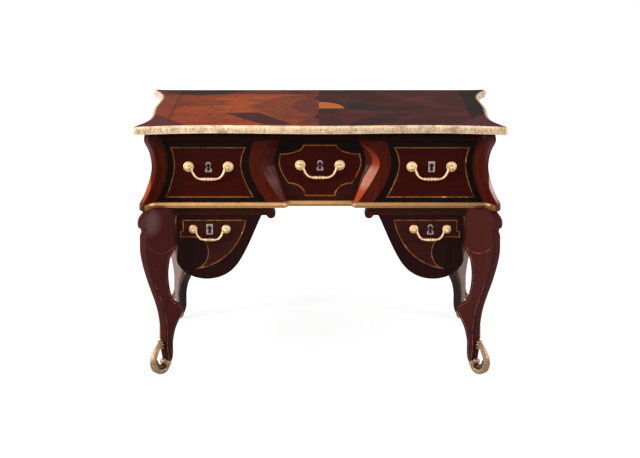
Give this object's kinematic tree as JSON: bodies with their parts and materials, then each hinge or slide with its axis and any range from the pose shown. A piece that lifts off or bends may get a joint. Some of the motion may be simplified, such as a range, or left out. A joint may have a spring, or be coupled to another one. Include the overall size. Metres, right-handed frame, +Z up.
{
  "type": "bureau mazarin",
  "caption": "Waisted kneehole writing desk with marquetry top, gilt mouldings, bail-handled upper drawers, pendant lobed lower drawers and diagonal cabriole legs on scroll feet.",
  "frame": {"origin": "on the floor under the middle of the desk", "axes": "+X to the right seen from the front, +Y to the back, +Z up"},
  "size_m": [1.1342, 0.6742, 0.8],
  "materials": {
    "top_marquetry": "satin",
    "top_gilding": "satin",
    "waist_gilding": "satin",
    "dark_veneer": "satin",
    "leg_rosewood": "satin",
    "carcass_wood": "matte",
    "rosewood_veneer": "satin",
    "drawer_veneer": "satin",
    "drawer_oak": "matte",
    "gilt_brass": "polished",
    "lock_metal": "satin"
  },
  "bodies": {
    "desk": {"top_panel": "top_marquetry", "top_moulding_front": "top_gilding", "top_moulding_back": "top_gilding", "top_moulding_left": "top_gilding", "top_moulding_right": "top_gilding", "frieze_rail": "dark_veneer", "front_post_left": "rosewood_veneer", "front_post_right": "rosewood_veneer", "rear_post_left": "rosewood_veneer", "rear_post_right": "rosewood_veneer", "inner_stile_left": "rosewood_veneer", "inner_stile_right": "rosewood_veneer", "side_panel_left": "rosewood_veneer", "side_panel_right": "rosewood_veneer", "back_panel": "carcass_wood", "partitions": "carcass_wood", "base_board": "carcass_wood", "waist_moulding_left": "waist_gilding", "waist_moulding_middle": "waist_gilding", "waist_moulding_right": "waist_gilding", "lower_rail_left": "dark_veneer", "lower_rail_right": "dark_veneer", "side_apron_left": "rosewood_veneer", "side_apron_right": "rosewood_veneer", "back_aprons": "carcass_wood", "lower_cheeks": "carcass_wood", "drawer_guides": "carcass_wood", "leg_front_left": "leg_rosewood", "leg_front_right": "leg_rosewood", "leg_rear_left": "leg_rosewood", "leg_rear_right": "leg_rosewood", "foot_front_left": "waist_gilding", "foot_front_right": "waist_gilding", "foot_rear_left": "waist_gilding", "foot_rear_right": "waist_gilding"},
    "upper_drawer_left": {"upper_drawer_left_front": "drawer_veneer", "upper_drawer_left_box": "drawer_oak", "upper_drawer_left_pull_mounts": "gilt_brass", "upper_drawer_left_lock": "lock_metal"},
    "upper_drawer_left_pull": {"upper_drawer_left_bail": "gilt_brass"},
    "middle_drawer": {"middle_drawer_front": "drawer_veneer", "middle_drawer_box": "drawer_oak", "middle_drawer_pull_mounts": "gilt_brass", "middle_drawer_lock": "lock_metal"},
    "middle_drawer_pull": {"middle_drawer_bail": "gilt_brass"},
    "upper_drawer_right": {"upper_drawer_right_front": "drawer_veneer", "upper_drawer_right_box": "drawer_oak", "upper_drawer_right_pull_mounts": "gilt_brass", "upper_drawer_right_lock": "lock_metal"},
    "upper_drawer_right_pull": {"upper_drawer_right_bail": "gilt_brass"},
    "lower_drawer_left": {"lower_drawer_left_front": "drawer_veneer", "lower_drawer_left_box": "drawer_oak", "lower_drawer_left_pull_mounts": "gilt_brass", "lower_drawer_left_lock": "lock_metal"},
    "lower_drawer_left_pull": {"lower_drawer_left_bail": "gilt_brass"},
    "lower_drawer_right": {"lower_drawer_right_front": "drawer_veneer", "lower_drawer_right_box": "drawer_oak", "lower_drawer_right_pull_mounts": "gilt_brass", "lower_drawer_right_lock": "lock_metal"},
    "lower_drawer_right_pull": {"lower_drawer_right_bail": "gilt_brass"}
  },
  "joints": [
    {"name": "upper_drawer_left_slide", "type": "slide", "parent": "desk", "child": "upper_drawer_left", "axis": [0, -1, 0], "range_m": [0, 0.38]},
    {"name": "upper_drawer_left_bail_swing", "type": "hinge", "parent": "upper_drawer_left", "child": "upper_drawer_left_pull", "pos_m": [-0.3405, -0.26005, 0.662], "axis": [-1, 0, 0], "range_deg": [0, 85]},
    {"name": "middle_drawer_slide", "type": "slide", "parent": "desk", "child": "middle_drawer", "axis": [0, -1, 0], "range_m": [0, 0.36]},
    {"name": "middle_drawer_bail_swing", "type": "hinge", "parent": "middle_drawer", "child": "middle_drawer_pull", "pos_m": [0, -0.23805, 0.662], "axis": [-1, 0, 0], "range_deg": [0, 85]},
    {"name": "upper_drawer_right_slide", "type": "slide", "parent": "desk", "child": "upper_drawer_right", "axis": [0, -1, 0], "range_m": [0, 0.38]},
    {"name": "upper_drawer_right_bail_swing", "type": "hinge", "parent": "upper_drawer_right", "child": "upper_drawer_right_pull", "pos_m": [0.3405, -0.26005, 0.662], "axis": [-1, 0, 0], "range_deg": [0, 85]},
    {"name": "lower_drawer_left_slide", "type": "slide", "parent": "desk", "child": "lower_drawer_left", "axis": [0, -1, 0], "range_m": [0, 0.36]},
    {"name": "lower_drawer_left_bail_swing", "type": "hinge", "parent": "lower_drawer_left", "child": "lower_drawer_left_pull", "pos_m": [-0.3405, -0.258, 0.464], "axis": [-1, 0, 0], "range_deg": [0, 85]},
    {"name": "lower_drawer_right_slide", "type": "slide", "parent": "desk", "child": "lower_drawer_right", "axis": [0, -1, 0], "range_m": [0, 0.36]},
    {"name": "lower_drawer_right_bail_swing", "type": "hinge", "parent": "lower_drawer_right", "child": "lower_drawer_right_pull", "pos_m": [0.3405, -0.258, 0.464], "axis": [-1, 0, 0], "range_deg": [0, 85]}
  ]
}
